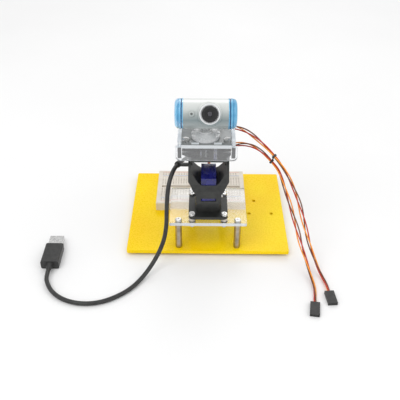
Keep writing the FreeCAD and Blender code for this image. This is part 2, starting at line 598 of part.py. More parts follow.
def tilt_parts():
    """The nylon frame that holds the tilt servo, and the clear cradle on it."""
    top = SHELF_BOTTOM - 0.3
    outline = [(HEAD_X - PLATE_HALF, top), (HEAD_X - PLATE_HALF, 94.0), (-14.2, 91.5), (-14.2, 86.4),
               (14.2, 86.4), (14.2, 91.5),
               (HEAD_X + PLATE_HALF, 94.0), (HEAD_X + PLATE_HALF, top)]
    plate = prism(outline, "y", PANEL_BACK, PLATE_BACK - PANEL_BACK)
    wall_x = TILT_FACE_X + EAR_TOP - EAR_THICKNESS
    wall_end = TILT_Y + EAR_TIP_LONG + 0.3
    wall = box((wall_x - 2.4, PLATE_BACK - 0.5, TILT_Z - 7.6), (wall_x, wall_end, TILT_Z + 6.9))
    corner = prism([(wall_end - 3.0, TILT_Z - 7.6), (wall_end, TILT_Z - 4.6), (wall_end + 1, TILT_Z - 8.6)],
                   "x", 0, wall_x)
    wall = wall.cut(corner)
    left_lug = box((LUG_LEFT, PLATE_BACK - 0.5, TILT_Z - 6.0), (LUG_RIGHT, TILT_Y, TILT_Z + 6.0))
    left_round = rod_x(LUG_LEFT, LUG_RIGHT, TILT_Y, TILT_Z, 6.0)
    under_bar = box((LUG_LEFT, PLATE_BACK - 0.5, TILT_Z - 8.6), (wall_x, TILT_Y + 2.0, TILT_Z - 6.6))
    screw_lugs = [box((x - SCREW_LUG_HALF, PANEL_BACK, SCREW_LUG_BOTTOM),
                      (x + SCREW_LUG_HALF, SCREW_LUG_BACK, top))
                  for x in CRADLE_BOLTS_X]
    frame = joined([plate, wall, left_lug, left_round, under_bar, *screw_lugs])
    notches = []
    for side in (-1, 1):
        mouth = HEAD_X + side * (PLATE_HALF + 0.5)
        notch = [(mouth, PLATE_NOTCH_Z - PLATE_NOTCH_HALF), (mouth, PLATE_NOTCH_Z + PLATE_NOTCH_HALF),
                 (HEAD_X + side * (PLATE_HALF - PLATE_NOTCH_DEPTH), PLATE_NOTCH_Z)]
        notches.append(prism(notch, "y", PANEL_BACK - 1, PLATE_BACK - PANEL_BACK + 2))
    servo_half = SERVO_WIDTH / 2 + FIT
    window = box((LUG_RIGHT, TILT_Y - SERVO_SHORT - FIT, TILT_Z - servo_half),
                 (20, TILT_Y + SERVO_LONG + FIT, TILT_Z + servo_half))
    ear_slot = box((wall_x, PANEL_BACK - 1, TILT_Z - servo_half),
                   (wall_x + EAR_THICKNESS + 0.3, PLATE_BACK + 0.1, TILT_Z + servo_half))
    ear_hole = rod_x(0, 10, TILT_Y + EAR_HOLE_LONG, TILT_Z, 0.9)
    pivot_hole = rod_x(-20, -11, TILT_Y, TILT_Z, 1.56)
    slots = [rounded(box((x - 0.8, PANEL_BACK - 1, 92.0), (x + 0.8, PLATE_BACK + 1, 98.6)), 0.75,
                     Y_AXIS) for x in (-6.4, -2.4)]
    screw_holes = [rod(x, CRADLE_SCREW_Y, SCREW_LUG_BOTTOM - 1, SHELF_TOP, M3_RADIUS) for x in CRADLE_BOLTS_X]
    frame = less(frame, [window, ear_slot, ear_hole, pivot_hole, *slots, *screw_holes, *notches])
    ear_screw = small_screw(V(wall_x + EAR_THICKNESS, TILT_Y + EAR_HOLE_LONG, TILT_Z), V(-1, 0, 0), 4.8,
                            0.9, 1.8, 1.2)
    panel_left = HEAD_X - PANEL_HALF
    panel_right = HEAD_X + PANEL_HALF
    corner_top = PANEL_BOTTOM + PANEL_CORNER
    panel = joined([
        box((panel_left, PANEL_FRONT, corner_top), (panel_right, PANEL_BACK, SHELF_BOTTOM)),
        box((panel_left + PANEL_CORNER, PANEL_FRONT, PANEL_BOTTOM),
            (panel_right - PANEL_CORNER, PANEL_BACK, corner_top)),
        rod_y(PANEL_FRONT, PANEL_BACK, panel_left + PANEL_CORNER, corner_top, PANEL_CORNER),
        rod_y(PANEL_FRONT, PANEL_BACK, panel_right - PANEL_CORNER, corner_top, PANEL_CORNER),
    ])
    tabs = [box((x - 3.0, PANEL_FRONT, SHELF_BOTTOM - 0.1),
                (x + 3.0, PANEL_BACK, SHELF_TOP)) for x in (HEAD_X - 9.0, HEAD_X + 9.0)]
    panel = joined([panel, *tabs])
    shelf = box((HEAD_X - SHELF_HALF, SHELF_FRONT, SHELF_BOTTOM),
                (HEAD_X + SHELF_HALF, SHELF_BACK, SHELF_TOP))
    tab_holes = [box((x - 3.0, PANEL_FRONT, SHELF_BOTTOM - 1),
                     (x + 3.0, PANEL_BACK, SHELF_TOP + 1)) for x in (HEAD_X - 9.0, HEAD_X + 9.0)]
    foot_hole = rod(CAM_X, CAM_Y, SHELF_BOTTOM - 1, SHELF_TOP + 1, M3_CLEARANCE)
    head_well = rod(CAM_X, CAM_Y, SHELF_BOTTOM - 1, SHELF_BOTTOM + 1.8, M3_HEAD_RADIUS + 0.2)
    shelf_holes = [rod(x, CRADLE_SCREW_Y, SHELF_BOTTOM - 1, SHELF_TOP + 1,
                       M3_CLEARANCE) for x in CRADLE_BOLTS_X]
    shelf = less(shelf, [*tab_holes, *shelf_holes, foot_hole, head_well])
    sides = []
    for side in (-1, 1):
        low_x = HEAD_X + min(side * SHELF_HALF, side * (SHELF_HALF + ACRYLIC))
        plate_side = box((low_x, PANEL_BACK, 98.4), (low_x + ACRYLIC, -22.0, 106.2))
        front_leg = box((low_x, PANEL_BACK, SIDE_LEG_BOTTOM), (low_x + ACRYLIC, SIDE_LEG_BACK, 98.5))
        plate_side = joined([plate_side, front_leg])
        notch = box((low_x - 1, -38.0, SHELF_BOTTOM), (low_x + 4, -32.0, SHELF_TOP))
        tab = box((low_x - (0.1 if side > 0 else 0.0), -38.0, SHELF_BOTTOM),
                  (low_x + ACRYLIC + (0.0 if side > 0 else 0.1), -32.0, SHELF_TOP))
        shelf = joined([shelf, tab])
        sides.append(plate_side.cut(notch))
    bolts = []
    for x in CRADLE_BOLTS_X:
        head = rod(x, CRADLE_SCREW_Y, SHELF_TOP, SHELF_TOP + M3_HEAD_HEIGHT, M3_HEAD_RADIUS)
        socket = rod(x, CRADLE_SCREW_Y, SHELF_TOP + M3_HEAD_HEIGHT - 0.9, SHELF_TOP + M3_HEAD_HEIGHT + 1, 1.2)
        shank = rod(x, CRADLE_SCREW_Y, SCREW_LUG_BOTTOM, SHELF_TOP, M3_RADIUS)
        bolts.append(joined([head, shank]).cut(socket))
    head_top = SHELF_BOTTOM + 1.8
    foot_screw = joined([rod(CAM_X, CAM_Y, SHELF_BOTTOM, head_top, M3_HEAD_RADIUS),
                         rod(CAM_X, CAM_Y, SHELF_BOTTOM, 108.8, M3_RADIUS)])
    foot_screw = foot_screw.cut(rod(CAM_X, CAM_Y, SHELF_BOTTOM - 1, SHELF_BOTTOM + 0.9, 1.2))
    return {
        "tilt_frame": frame,
        "cradle_front_panel": panel,
        "cradle_shelf": shelf,
        "cradle_sides": Part.makeCompound(sides),
        "cradle_screws": Part.makeCompound([*bolts, ear_screw, foot_screw]),
    }


def webcam_parts():
    """The webcam: foot, barrel with end caps, lens stack, button and the camera board inside."""
    foot = joined([rod(CAM_X, CAM_Y, SHELF_TOP, SHELF_TOP + 2.2, FOOT_DISC_RADIUS),
                   Part.makeCone(FOOT_DISC_RADIUS - 1.2, 5.4, 2.2, V(CAM_X, CAM_Y, SHELF_TOP + 2.2), Z_AXIS),
                   rod(CAM_X, CAM_Y, SHELF_TOP, BALL_TOP, 5.4)])
    ribs = []
    for k in range(12):
        rib = box((7.0, -0.45, SHELF_TOP + 1.9), (FOOT_DISC_RADIUS - 0.4, 0.45, SHELF_TOP + 2.8))
        rib.rotate(V(0, 0, 0), Z_AXIS, 30 * k)
        rib.translate(V(CAM_X, CAM_Y, 0))
        ribs.append(rib)
    foot = joined([foot, *ribs])
    foot = less(foot, [rod(CAM_X, CAM_Y, SHELF_TOP - 1, 109.0, M3_RADIUS),
                       rod(CAM_X, CAM_Y, 109.0, BALL_TOP + 1, 2.55)])
    neck = joined([rod(CAM_X, CAM_Y, 109.3, 112.0, 2.5),
                   rod(CAM_X, CAM_Y, BALL_TOP + 0.15, 114.5, NECK_RADIUS)])
    neck = neck.cut(rod_x(-30, 30, CAM_Y, CAM_Z, BARREL_RADIUS))
    outer = rod_x(CAM_X - BARREL_HALF, CAM_X + BARREL_HALF, CAM_Y, CAM_Z, BARREL_RADIUS)
    inner = rod_x(CAM_X - BARREL_HALF - 1, CAM_X + BARREL_HALF + 1, CAM_Y, CAM_Z, BARREL_RADIUS - 1.5)
    tube = outer.cut(inner)
    front_cut = box((-40, CAM_Y, 100), (40, 0, 150))
    back_cut = box((-40, -80, 100), (40, CAM_Y, 150))
    front = tube.cut(front_cut)
    back = tube.cut(back_cut)
    bezel_hole = rod_y(-60, CAM_Y, LENS_X, CAM_Z, 7.0)
    button_hole = rod_y(-60, CAM_Y, BUTTON_X, CAM_Z, 2.35)
    front = less(front, [bezel_hole, button_hole])
    cable_hole = rod_y(CAM_Y, 0, CAM_X, CAM_Z, 2.6)
    back = back.cut(cable_hole)
    caps = {}
    for side, name in ((-1, "webcam_left_cap"), (1, "webcam_right_cap")):
        start = CAM_X + side * BARREL_HALF
        length = CAP_END - BARREL_HALF
        disc = Part.makeCylinder(BARREL_RADIUS + 0.25, length, V(start, CAM_Y, CAM_Z), V(side, 0, 0))
        rim = [e for e in disc.Edges
               if abs(e.BoundBox.XMin - CAM_X - side * CAP_END) < 1e-6 and e.BoundBox.XLength < 1e-6]
        disc = disc.makeFillet(3.6, rim)
        hollow = Part.makeCylinder(BARREL_RADIUS - 1.6, length - 1.6, V(start - side, CAM_Y, CAM_Z),
                                   V(side, 0, 0))
        spigot = Part.makeCylinder(BARREL_RADIUS - 1.5, 2.0, V(start - side * 2.0, CAM_Y, CAM_Z),
                                   V(side, 0, 0))
        spigot = spigot.cut(Part.makeCylinder(BARREL_RADIUS - 2.6, 6.0, V(start - side * 3, CAM_Y, CAM_Z),
                                              V(side, 0, 0)))
        caps[name] = joined([disc.cut(hollow), spigot])
    bezel = rod_y(CAM_Y - 13.4, CAM_Y - 6.0, LENS_X, CAM_Z, 6.95)
    bezel_flange = rod_y(CAM_Y - 13.4, CAM_Y - 11.2, LENS_X, CAM_Z, 9.8).cut(outer)
    bezel = joined([bezel, bezel_flange])
    bezel = bezel.cut(rod_y(-60, CAM_Y, LENS_X, CAM_Z, 4.4))
    lens_barrel = joined([rod_y(CAM_Y - 13.0, CAM_Y - 4.0, LENS_X, CAM_Z, 4.3),
                          rod_y(CAM_Y - 15.6, CAM_Y - 13.5, LENS_X, CAM_Z, 6.35)])
    lens_barrel = joined([lens_barrel, rod_y(CAM_Y - 13.6, CAM_Y - 12.9, LENS_X, CAM_Z, 4.3)])
    knurls = []
    for k in range(24):
        groove = rod_y(CAM_Y - 16, CAM_Y - 13.4, LENS_X + 6.55 * math.cos(math.radians(15 * k)),
                       CAM_Z + 6.55 * math.sin(math.radians(15 * k)), 0.42)
        knurls.append(groove)
    lens_barrel = less(lens_barrel, [*knurls, rod_y(CAM_Y - 17, CAM_Y - 14.2, LENS_X, CAM_Z, 4.0),
                                     rod_y(CAM_Y - 15, CAM_Y - 3, LENS_X, CAM_Z, 2.2)])
    lens = rod_y(CAM_Y - 14.2, CAM_Y - 12.6, LENS_X, CAM_Z, 2.15)
    front_edge = [e for e in lens.Edges
                  if abs(e.BoundBox.YMin - (CAM_Y - 14.2)) < 1e-6 and e.BoundBox.YLength < 1e-6]
    lens = lens.makeFillet(0.7, front_edge)
    board = box((LENS_X - 13.0, CAM_Y + 0.2, CAM_Z - 8.0), (LENS_X + 13.0, CAM_Y + 1.6, CAM_Z + 8.0))
    sensor = box((LENS_X - 3.6, CAM_Y - 1.6, CAM_Z - 3.6), (LENS_X + 3.6, CAM_Y + 0.2, CAM_Z + 3.6))
    board = joined([board, sensor])
    button = joined([rod_y(CAM_Y - 12.7, CAM_Y - 8.0, BUTTON_X, CAM_Z, 2.25),
                     rod_y(CAM_Y - 9.4, CAM_Y - 8.0, BUTTON_X, CAM_Z, 2.9)])
    relief = Part.makeCone(2.5, 1.9, 3.55, V(CAM_X, CAM_Y + BARREL_RADIUS - 0.9, CAM_Z), Y_AXIS)
    relief = joined([relief, rod_y(CAM_Y + 8.6, CAM_Y + BARREL_RADIUS - 0.8, CAM_X, CAM_Z, 2.5)])
    parts = {
        "webcam_front_shell": front,
        "webcam_back_shell": back,
        "webcam_lens_bezel": bezel,
        "webcam_focus_ring": lens_barrel,
        "webcam_lens": lens,
        "webcam_circuit_board": board,
        "webcam_button": button,
        "webcam_cable_relief": relief,
    }
    parts.update(caps)
    for shape in parts.values():
        shape.rotate(V(CAM_X, CAM_Y, CAM_Z), X_AXIS, -LOOK_UP)
    parts["webcam_foot"] = foot
    parts["webcam_neck"] = neck
    return parts


def cord_parts():
    """The USB cable, the two servo leads, and what is on them."""
    plug_x, plug_z = -132.8, 4.0
    plug = rounded(box((plug_x - 7.6, -78.0, plug_z - 4.0), (plug_x + 7.6, -54.0, plug_z + 4.0)), 1.6, Y_AXIS)
    shell = box((plug_x - 6.0, -54.0, plug_z - 2.25), (plug_x + 6.0, -42.0, plug_z + 2.25))
    shell_hollow = box((plug_x - 5.6, -53.0, plug_z - 1.85), (plug_x + 5.6, -41.0, plug_z + 1.85))
    tongue = box((plug_x - 5.5, -53.0, plug_z - 1.8), (plug_x + 5.5, -42.6, plug_z - 0.1))
    relief = Part.makeCone(1.85, 3.4, 6.0, V(plug_x, -84.0, plug_z), Y_AXIS)
    start = V(*USB_LOWER_ROUTE[0])
    tie_way = (V(*USB_LOWER_ROUTE[1]) - start).normalize()
    start = start + tie_way * USB_TIE_GAP
    wrap = Part.makeCylinder(USB_DIAMETER / 2 + 0.9, USB_TIE_WIDTH, start, tie_way)
    wrap = wrap.cut(Part.makeCylinder(USB_DIAMETER / 2, 2 * USB_TIE_WIDTH, start - tie_way, tie_way))
    hook = box((start.x + USB_DIAMETER / 2 - 0.6, start.y - USB_TIE_WIDTH, start.z - 1.0),
               (-YOKE_OUTER, start.y - 0.5, start.z + 1.4))
    lead_ends = [V(*route[-1]) for route in (TILT_LEAD_UPPER_ROUTE, PAN_LEAD_UPPER_ROUTE)]
    lead_back = [V(*route[-2]) for route in (TILT_LEAD_UPPER_ROUTE, PAN_LEAD_UPPER_ROUTE)]
    collars = []
    for tip, before in zip(lead_ends, lead_back):
        way = (tip - before).normalize()
        collars.append(Part.makeCylinder(LEAD_DIAMETER / 2 + 0.8, TIE_LENGTH,
                                         tip - way * (TIE_LENGTH + 0.4), way))
    link_ends = [tip - (tip - before).normalize() * (TIE_LENGTH / 2 + 0.4) for tip,
                 before in zip(lead_ends, lead_back)]
    across = link_ends[1] - link_ends[0]
    link = Part.makeCylinder(0.6, across.Length, link_ends[0], across)
    parts = {
        "usb_plug_body": joined([plug, relief]),
        "usb_plug_shell": Part.makeCompound([shell.cut(shell_hollow), tongue]),
        "usb_cable_tail": cord_solid(USB_TAIL_ROUTE, USB_DIAMETER, "usb_cable_tail"),
        "usb_cable_upper": cord_solid(USB_UPPER_ROUTE, USB_DIAMETER, "usb_cable_upper"),
        "usb_cable_lower": cord_solid(USB_LOWER_ROUTE, USB_DIAMETER, "usb_cable_lower"),
        "tilt_lead_upper": cord_solid(TILT_LEAD_UPPER_ROUTE, LEAD_DIAMETER, "tilt_lead_upper"),
        "tilt_lead_lower": cord_solid(TILT_LEAD_LOWER_ROUTE, LEAD_DIAMETER, "tilt_lead_lower"),
        "pan_lead_upper": cord_solid(PAN_LEAD_UPPER_ROUTE, LEAD_DIAMETER, "pan_lead_upper"),
        "pan_lead_lower": cord_solid(PAN_LEAD_LOWER_ROUTE, LEAD_DIAMETER, "pan_lead_lower"),
    }
    for name, route in (("tilt_lead_plug", TILT_LEAD_LOWER_ROUTE), ("pan_lead_plug", PAN_LEAD_LOWER_ROUTE)):
        tip = V(*route[-1])
        way = tip - V(*route[-2])
        angle = math.degrees(math.atan2(way.y, way.x))
        body = box((0, -3.8, -LEAD_DIAMETER / 2), (14.0, 3.8, LEAD_DIAMETER / 2))
        pins = [box((9.0, y - 0.4, -0.4), (15.0, y + 0.4, 0.4)) for y in (-2.54, 0, 2.54)]
        body = less(body, pins)
        body.rotate(V(0, 0, 0), Z_AXIS, angle)
        body.translate(tip)
        parts[name] = body
    leads = [parts[f"{servo}_lead_{end}"] for servo in ("tilt", "pan") for end in ("upper", "lower")]
    lead_tie = less(joined([*collars, link]), leads)
    usb_tie = joined([wrap, hook]).cut(parts["usb_cable_lower"])
    parts["cable_ties"] = Part.makeCompound([lead_tie, usb_tie])
    return parts


def breadboard_parts():
    """A half-size breadboard, stuck to the plate."""
    width, depth, height = BOARD_SIZE
    low = (BOARD_X - width / 2, BOARD_FRONT, PLATE_TOP)
    body = box(low, (low[0] + width, low[1] + depth, PLATE_TOP + height))
    groove = box((low[0] - 1, BOARD_FRONT + depth / 2 - 1.4, PLATE_TOP + 4.8),
                 (low[0] + width + 1, BOARD_FRONT + depth / 2 + 1.4, 30))
    return {"breadboard": body.cut(groove)}


def all_parts():
    """Every piece, by its name."""
    parts = {}
    parts.update(base_parts())
    parts.update(pan_base_parts())
    parts.update(yoke_parts())
    parts.update(tilt_parts())
    parts.update(webcam_parts())
    parts.update(breadboard_parts())
    parts.update(cord_parts())
    for servo in ("pan", "tilt"):
        for name, shape in servo_parts(servo).items():
            parts[f"{servo}_servo_{name}"] = shape
    return parts


os.makedirs("parts", exist_ok=True)
for name, shape in all_parts().items():
    if not shape.isValid():
        print("not valid:", name)
    shape.exportStep(f"parts/{name}.step")
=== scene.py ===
"""Pan tilt camera mount: materials, cords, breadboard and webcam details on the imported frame. Metres."""

import math

import bpy
from mathutils import Matrix, Vector


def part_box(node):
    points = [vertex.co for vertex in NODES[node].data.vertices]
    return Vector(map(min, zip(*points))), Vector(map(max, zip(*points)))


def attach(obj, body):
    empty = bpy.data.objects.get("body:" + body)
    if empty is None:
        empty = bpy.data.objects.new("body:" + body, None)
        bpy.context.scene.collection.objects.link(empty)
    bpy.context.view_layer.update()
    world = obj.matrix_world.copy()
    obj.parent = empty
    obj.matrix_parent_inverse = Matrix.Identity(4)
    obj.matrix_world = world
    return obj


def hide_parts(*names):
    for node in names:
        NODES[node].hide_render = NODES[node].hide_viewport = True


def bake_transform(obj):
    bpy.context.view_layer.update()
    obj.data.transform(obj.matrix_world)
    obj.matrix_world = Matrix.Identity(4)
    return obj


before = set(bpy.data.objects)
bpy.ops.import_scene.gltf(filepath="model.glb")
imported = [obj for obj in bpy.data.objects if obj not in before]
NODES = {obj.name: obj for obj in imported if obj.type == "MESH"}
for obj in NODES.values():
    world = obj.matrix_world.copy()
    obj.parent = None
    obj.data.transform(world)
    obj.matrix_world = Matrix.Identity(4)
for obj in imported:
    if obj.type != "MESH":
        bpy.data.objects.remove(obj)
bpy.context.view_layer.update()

# Routes of the cords: the points of the CAD routes
USB_TAIL = (
    (-0.0028, -0.02217, 0.11846), (-0.0028, -0.01469, 0.11465), (-0.0034, -0.0082, 0.113),
    (-0.0042, -0.002, 0.11), (-0.0049, 0.00304, 0.1051), (-0.0056, 0.00604, 0.09835),
    (-0.0065, 0.00645, 0.09257),
)
USB_UPPER = (
    (-0.0065, 0.00645, 0.09257), (-0.0074, 0.00686, 0.08679), (-0.0092, 0.00482, 0.07968),
    (-0.012, -0.0002, 0.0742), (-0.0156, -0.0068, 0.0712), (-0.0194, -0.0142, 0.071),
    (-0.02241, -0.02104, 0.07266), (-0.0246, -0.02705, 0.0739),
)
USB_LOWER = (
    (-0.0246, -0.02705, 0.0739), (-0.0269, -0.03335, 0.0752), (-0.0296, -0.0402, 0.0739),
    (-0.0319, -0.0464, 0.0696), (-0.0334, -0.0512, 0.063), (-0.0341, -0.0549, 0.0546),
    (-0.0344, -0.0586, 0.0455), (-0.0345, -0.0626, 0.0363), (-0.0362, -0.0676, 0.0254),
    (-0.0404, -0.0734, 0.0158), (-0.0466, -0.081, 0.0076), (-0.0538, -0.091, 0.0026),
    (-0.062, -0.103, 0.0018), (-0.0732, -0.113, 0.00185), (-0.0864, -0.1196, 0.0018),
    (-0.1008, -0.1208, 0.00185), (-0.1146, -0.1166, 0.0018), (-0.1254, -0.1084, 0.0022),
    (-0.1316, -0.0976, 0.0034), (-0.1328, -0.091, 0.004), (-0.1328, -0.084, 0.004),
)
TILT_LEAD_UPPER = (
    (-0.0086, -0.0177, 0.095), (-0.0086, -0.0126, 0.095), (-0.006, -0.008, 0.0952), (-0.0008, -0.005, 0.0958),
    (0.0062, -0.0044, 0.0968), (0.014, -0.006, 0.098), (0.0218, -0.0094, 0.0988), (0.0294, -0.0144, 0.0988),
    (0.0364, -0.0202, 0.0972), (0.0429, -0.026, 0.0942), (0.0487, -0.031, 0.0904), (0.0543, -0.0355, 0.0856),
)
TILT_LEAD_LOWER = (
    (0.0543, -0.0355, 0.0856), (0.0581, -0.03855, 0.08235), (0.0631, -0.0414, 0.0756),
    (0.0683, -0.0436, 0.0664), (0.0731, -0.0462, 0.056), (0.0774, -0.05, 0.0448), (0.0809, -0.0554, 0.0334),
    (0.0842, -0.062, 0.0222), (0.088, -0.0696, 0.012), (0.092, -0.0784, 0.0046), (0.0952, -0.088, 0.0015),
    (0.0972, -0.097, 0.0013), (0.0978, -0.1042, 0.0013),
)
PAN_LEAD_UPPER = (
    (0.0, -0.0311, 0.0734), (0.0, -0.0256, 0.0734), (0.0024, -0.0204, 0.0742), (0.0074, -0.0166, 0.0768),
    (0.014, -0.0152, 0.081), (0.0212, -0.0162, 0.0854), (0.0288, -0.0192, 0.0884), (0.0362, -0.0234, 0.0892),
    (0.0429, -0.028, 0.0872), (0.0484, -0.0319, 0.0838), (0.0526, -0.0349, 0.0802),
)
PAN_LEAD_LOWER = (
    (0.0526, -0.0349, 0.0802), (0.0565, -0.0377, 0.07685), (0.0604, -0.0414, 0.0688),
    (0.0642, -0.0458, 0.059), (0.068, -0.0502, 0.0484), (0.0718, -0.0552, 0.0376), (0.0755, -0.0612, 0.027),
    (0.0788, -0.0682, 0.0174), (0.0822, -0.0764, 0.0094), (0.085, -0.0858, 0.0038), (0.0866, -0.096, 0.0015),
    (0.0866, -0.1068, 0.0013), (0.085, -0.1168, 0.0013),
)
USB_DIAMETER = 0.0036
WIRE_RADIUS = 0.00055
WIRE_SPREAD = 0.00073
WIRE_LOOSENESS = 0.0011
LAY_LENGTH = 0.075
USB_SIDES = 20
WIRE_SIDES = 10
NURBS_STEPS = 10
TABLE_GAP = 0.00002
LIFT_START = 0.006
LIFT_SPAN = 0.02

# Webcam
CAM_X = -0.0028
CAM_Y = -0.035
CAM_Z = 0.125
LENS_X = 0.0002
BUTTON_X = -0.0138
LOOK_UP = math.radians(27.0)
BARREL_RADIUS = 0.01175
SEAT_SINK = 0.0001

# Breadboard
PITCH = 0.00254
COLUMNS = 30
ROWS = 5
RAIL_GROUP = 6
HOLE_HALF = 0.00052
HOLE_DEPTH = 0.004
BOARD_RIM = 0.0006
CHANNEL_HALF = 0.0016
CHANNEL_DEPTH = 0.003
SEAM_PLACE = 0.0166
SEAM_HALF = 0.0003
SEAM_DEPTH = 0.0006
FIRST_ROW = 0.00381
RAIL_ROW = 0.0202
BLUE_LINE = 0.0186
RED_LINE = 0.0243
LINE_HALF = 0.00022

# Studio
FLOOR_HALF = 4.0
FLOOR_DROP = -0.0002
WORLD_STRENGTH = 0.85
CAMERA_PLACE = (-0.005, -0.4768, 0.3625)
CAMERA_LENS = 57.2
CAMERA_SENSOR = 36.0
CAMERA_TURN = 0.26
CAMERA_PITCH = 54.0
CAMERA_ROLL = 0.3
# name, place, aim, width and watts of each light
LIGHTS = (
    ("key", (-0.5, -0.55, 0.95), (0.0, 0.0, 0.05), 0.7, 3.2),
    ("fill", (0.75, -0.35, 0.7), (0.0, 0.0, 0.05), 0.8, 1.4),
    ("back", (0.1, 0.8, 0.9), (0.0, 0.0, 0.08), 0.6, 1.6),
)

# Materials
ACRYLIC_IOR = 1.49
SMEAR_SCALE = 90.0
POLISH = (0.02, 0.09)
EDGE_ROUGHNESS = 0.34
EDGE_CLARITY = 0.3
SAW_SCALE = 2600.0
FLAKE_SCALE = 5200.0


# ---------------------------------------------------------------- materials


def new_material(name):
    material = bpy.data.materials.new(name)
    material.use_nodes = True
    tree = material.node_tree
    return material, tree, tree.nodes["Principled BSDF"]


def noise(tree, scale, detail=3.0, stretch=(1.0, 1.0, 1.0)):
    """Noise in the piece's own coordinates; scale is in features per metre."""
    place = tree.nodes.new("ShaderNodeTexCoord")
    mapping = tree.nodes.new("ShaderNodeMapping")
    mapping.inputs["Scale"].default_value = stretch
    texture = tree.nodes.new("ShaderNodeTexNoise")
    texture.inputs["Scale"].default_value = scale
    texture.inputs["Detail"].default_value = detail
    tree.links.new(place.outputs["Object"], mapping.inputs["Vector"])
    tree.links.new(mapping.outputs["Vector"], texture.inputs["Vector"])
    return texture.outputs["Fac"]


def spread(tree, value, low, high, start=0.3, stop=0.7):
    """Maps a value between start and stop to low and high."""
    node = tree.nodes.new("ShaderNodeMapRange")
    node.inputs["From Min"].default_value = start
    node.inputs["From Max"].default_value = stop
    node.inputs["To Min"].default_value = low
    node.inputs["To Max"].default_value = high
    tree.links.new(value, node.inputs["Value"])
    return node.outputs["Result"]


def colours(tree, value, *stops):
    """A colour ramp over (position, colour) stops."""
    ramp = tree.nodes.new("ShaderNodeValToRGB")
    elements = ramp.color_ramp.elements
    while len(elements) < len(stops):
        elements.new(0.5)
    for element, (position, colour) in zip(elements, stops):
        element.position = position
        element.color = (*colour, 1.0)
    tree.links.new(value, ramp.inputs["Fac"])
    return ramp.outputs["Color"]


def add_bump(tree, shader, height, strength, distance):
    bump = tree.nodes.new("ShaderNodeBump")
    bump.inputs["Strength"].default_value = strength
    bump.inputs["Distance"].default_value = distance
    tree.links.new(height, bump.inputs["Height"])
    tree.links.new(bump.outputs["Normal"], shader.inputs["Normal"])


def surface(name, dark, light, mottle, rough, grain, strength, distance=0.0001, stretch=(1.0, 1.0, 1.0),
            **fixed):
    """A solid finish: mottled colour, uneven gloss and a fine grain. Extra values go on the shader."""
    material, tree, shader = new_material(name)
    tone = noise(tree, mottle)
    tree.links.new(colours(tree, tone, (0.3, dark), (0.7, light)), shader.inputs["Base Color"])
    fine = noise(tree, grain, detail=2.0, stretch=stretch)
    tree.links.new(spread(tree, fine, *rough), shader.inputs["Roughness"])
    add_bump(tree, shader, fine, strength, distance)
    for key, value in fixed.items():
        shader.inputs[key.replace("_", " ")].default_value = value
    return material


def clear_sheet(name, axis, haze, tint=(0.97, 0.985, 1.0), edge=(0.9, 0.94, 0.97)):
    """Cut acrylic sheet: clear through its faces, white and frosted along its sawn edges."""
    material, tree, shader = new_material(name)
    place = tree.nodes.new("ShaderNodeTexCoord")
    parts = tree.nodes.new("ShaderNodeSeparateXYZ")
    facing = tree.nodes.new("ShaderNodeMath")
    facing.operation = "ABSOLUTE"
    tree.links.new(place.outputs["Normal"], parts.inputs["Vector"])
    tree.links.new(parts.outputs[axis], facing.inputs[0])
    face = spread(tree, facing.outputs["Value"], 0.0, 1.0, start=0.35, stop=0.8)
    tree.links.new(colours(tree, face, (0.0, edge), (1.0, tint)), shader.inputs["Base Color"])
    smear = noise(tree, SMEAR_SCALE, detail=4.0)
    polish = spread(tree, smear, *POLISH)
    roughness = tree.nodes.new("ShaderNodeMix")
    tree.links.new(face, roughness.inputs["Factor"])
    roughness.inputs["A"].default_value = EDGE_ROUGHNESS
    tree.links.new(polish, roughness.inputs["B"])
    tree.links.new(roughness.outputs["Result"], shader.inputs["Roughness"])
    clarity = spread(tree, face, EDGE_CLARITY, 1.0 - haze, start=0.0, stop=1.0)
    tree.links.new(clarity, shader.inputs["Transmission Weight"])
    saw = noise(tree, SAW_SCALE, detail=1.0, stretch=(1.0, 1.0, 0.15))
    add_bump(tree, shader, saw, strength=0.12, distance=0.00004)
    shader.inputs["IOR"].default_value = ACRYLIC_IOR
    return material


def see_through(name, dark, light, rough, transmission, grain, strength, ior=1.5, **fixed):
    """A tinted clear finish: a solid finish that lets part of the light through."""
    material = surface(name, dark, light, mottle=160.0, rough=rough, grain=grain, strength=strength,
                       distance=0.00006, **fixed)
    shader = material.node_tree.nodes["Principled BSDF"]
    shader.inputs["Transmission Weight"].default_value = transmission
    shader.inputs["IOR"].default_value = ior
    return material


def silver_shell(name):
    """The barrel's pearl-grey plastic, with painted shade round its waist, painted light towards its top and
    bottom, and fine metal flake.
    """
    material, tree, shader = new_material(name)
    place = tree.nodes.new("ShaderNodeTexCoord")
    parts = tree.nodes.new("ShaderNodeSeparateXYZ")
    tree.links.new(place.outputs["Object"], parts.inputs["Vector"])
    height = spread(tree, parts.outputs["Z"], 0.0, 1.0, CAM_Z - BARREL_RADIUS, CAM_Z + BARREL_RADIUS)
    # painted shade and light: light at the bottom, dark round the waist, light again at the top of the barrel
    shade = colours(tree, height, (0.0, (0.58, 0.62, 0.6)), (0.24, (0.38, 0.42, 0.42)),
                    (0.52, (0.2, 0.25, 0.26)), (0.74, (0.42, 0.46, 0.45)), (1.0, (0.72, 0.74, 0.72)))
    tree.links.new(shade, shader.inputs["Base Color"])
    flake = noise(tree, FLAKE_SCALE, detail=2.0)
    tree.links.new(spread(tree, flake, 0.24, 0.4), shader.inputs["Roughness"])
    add_bump(tree, shader, flake, strength=0.06, distance=0.00005)
    shader.inputs["Metallic"].default_value = 0.15
    shader.inputs["Coat Weight"].default_value = 0.5
    shader.inputs["Coat Roughness"].default_value = 0.12
    return material


